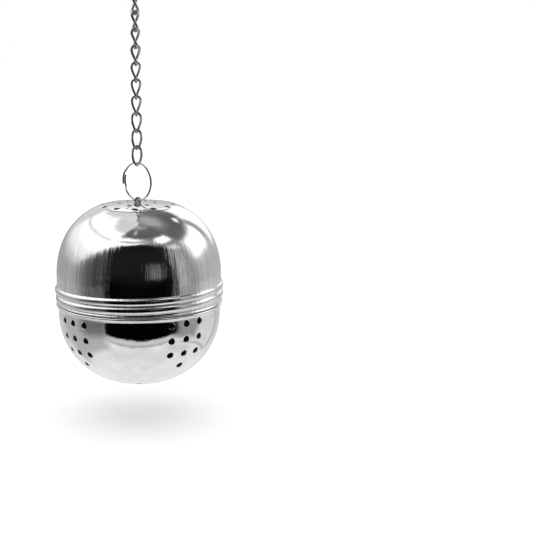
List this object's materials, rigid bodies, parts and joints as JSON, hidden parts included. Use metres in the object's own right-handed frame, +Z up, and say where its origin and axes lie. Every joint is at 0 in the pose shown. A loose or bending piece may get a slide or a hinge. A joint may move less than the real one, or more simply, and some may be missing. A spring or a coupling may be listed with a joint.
{
  "type": "tea infuser",
  "caption": "Perforated stainless steel ball in two screwed halves, hung by an eyelet, a split ring and a chain of twisted links from a bent wire hook for a cup rim.",
  "frame": {"origin": "inside of the bend of the cup hook, where it rests on a rim", "axes": "+Z up, the chain and the ball hang straight down along -Z; the hook lies in a plane turned 10 degrees from +X"},
  "size_m": [0.0512, 0.051, 0.1647],
  "materials": {
    "shell_steel": "polished, with fine upright brushing on the wall",
    "wire_steel": "bright drawn wire"
  },
  "bodies": {
    "hook": {"cup_hook": "wire_steel"},
    "link_01": {"chain_link_01": "wire_steel"},
    "link_02": {"chain_link_02": "wire_steel"},
    "link_03": {"chain_link_03": "wire_steel"},
    "link_04": {"chain_link_04": "wire_steel"},
    "link_05": {"chain_link_05": "wire_steel"},
    "link_06": {"chain_link_06": "wire_steel"},
    "link_07": {"chain_link_07": "wire_steel"},
    "link_08": {"chain_link_08": "wire_steel"},
    "link_09": {"chain_link_09": "wire_steel"},
    "link_10": {"chain_link_10": "wire_steel"},
    "link_11": {"chain_link_11": "wire_steel"},
    "link_12": {"chain_link_12": "wire_steel"},
    "link_13": {"chain_link_13": "wire_steel"},
    "link_14": {"chain_link_14": "wire_steel"},
    "ring": {"split_ring": "wire_steel"},
    "eye": {"eyelet": "wire_steel"},
    "cap": {"cap_shell": "shell_steel"},
    "bowl": {"bowl_shell": "shell_steel"}
  },
  "joints": [
    {"name": "link_01_swing", "type": "hinge", "parent": "hook", "child": "link_01", "pos_m": [0, 0, -0.02915], "axis": [0.9848, 0.1736, 0], "range_deg": [-45, 45]},
    {"name": "link_02_swing", "type": "hinge", "parent": "link_01", "child": "link_02", "pos_m": [0, 0, -0.03316], "axis": [-0.314, 0.9494, 0], "range_deg": [-45, 45]},
    {"name": "link_03_swing", "type": "hinge", "parent": "link_02", "child": "link_03", "pos_m": [0, 0, -0.03897], "axis": [-0.9494, -0.314, 0], "range_deg": [-45, 45]},
    {"name": "link_04_swing", "type": "hinge", "parent": "link_03", "child": "link_04", "pos_m": [0, 0, -0.04298], "axis": [-0.3827, -0.9239, 0], "range_deg": [-45, 45]},
    {"name": "link_05_swing", "type": "hinge", "parent": "link_04", "child": "link_05", "pos_m": [0, 0, -0.04879], "axis": [0.9239, -0.3827, 0], "range_deg": [-45, 45]},
    {"name": "link_06_swing", "type": "hinge", "parent": "link_05", "child": "link_06", "pos_m": [0, 0, -0.0528], "axis": [0.8059, 0.592, 0], "range_deg": [-45, 45]},
    {"name": "link_07_swing", "type": "hinge", "parent": "link_06", "child": "link_07", "pos_m": [0, 0, -0.05861], "axis": [-0.592, 0.8059, 0], "range_deg": [-45, 45]},
    {"name": "link_08_swing", "type": "hinge", "parent": "link_07", "child": "link_08", "pos_m": [0, 0, -0.06262], "axis": [-0.9673, -0.2538, 0], "range_deg": [-45, 45]},
    {"name": "link_09_swing", "type": "hinge", "parent": "link_08", "child": "link_09", "pos_m": [0, 0, -0.06843], "axis": [0.2538, -0.9673, 0], "range_deg": [-45, 45]},
    {"name": "link_10_swing", "type": "hinge", "parent": "link_09", "child": "link_10", "pos_m": [0, 0, -0.07244], "axis": [0.9989, 0.0471, 0], "range_deg": [-45, 45]},
    {"name": "link_11_swing", "type": "hinge", "parent": "link_10", "child": "link_11", "pos_m": [0, 0, -0.07825], "axis": [-0.0471, 0.9989, 0], "range_deg": [-45, 45]},
    {"name": "link_12_swing", "type": "hinge", "parent": "link_11", "child": "link_12", "pos_m": [0, 0, -0.08226], "axis": [-0.9511, 0.309, 0], "range_deg": [-45, 45]},
    {"name": "link_13_swing", "type": "hinge", "parent": "link_12", "child": "link_13", "pos_m": [0, 0, -0.08807], "axis": [-0.309, -0.9511, 0], "range_deg": [-45, 45]},
    {"name": "link_14_swing", "type": "hinge", "parent": "link_13", "child": "link_14", "pos_m": [0, 0, -0.09208], "axis": [0.809, -0.5878, 0], "range_deg": [-45, 45]},
    {"name": "ring_swing", "type": "hinge", "parent": "link_14", "child": "ring", "pos_m": [0, 0, -0.09789], "axis": [0.5878, 0.809, 0], "range_deg": [-35, 35]},
    {"name": "eyelet_swing", "type": "hinge", "parent": "ring", "child": "eye", "pos_m": [0, 0, -0.10839], "axis": [0.7071, -0.7071, 0], "range_deg": [-40, 40]},
    {"name": "cap_unscrew", "type": "hinge", "parent": "eye", "child": "cap", "pos_m": [0, 0, -0.13597], "axis": [0, 0, 1], "range_deg": [0, 4320]},
    {"name": "bowl_draw", "type": "slide", "parent": "eye", "child": "bowl", "axis": [0, 0, -1], "range_m": [0, 0.0289]}
  ],
  "couplings": [
    {"joint": "bowl_draw", "follows": "cap_unscrew", "m_per_rad": 0.00038197}
  ]
}
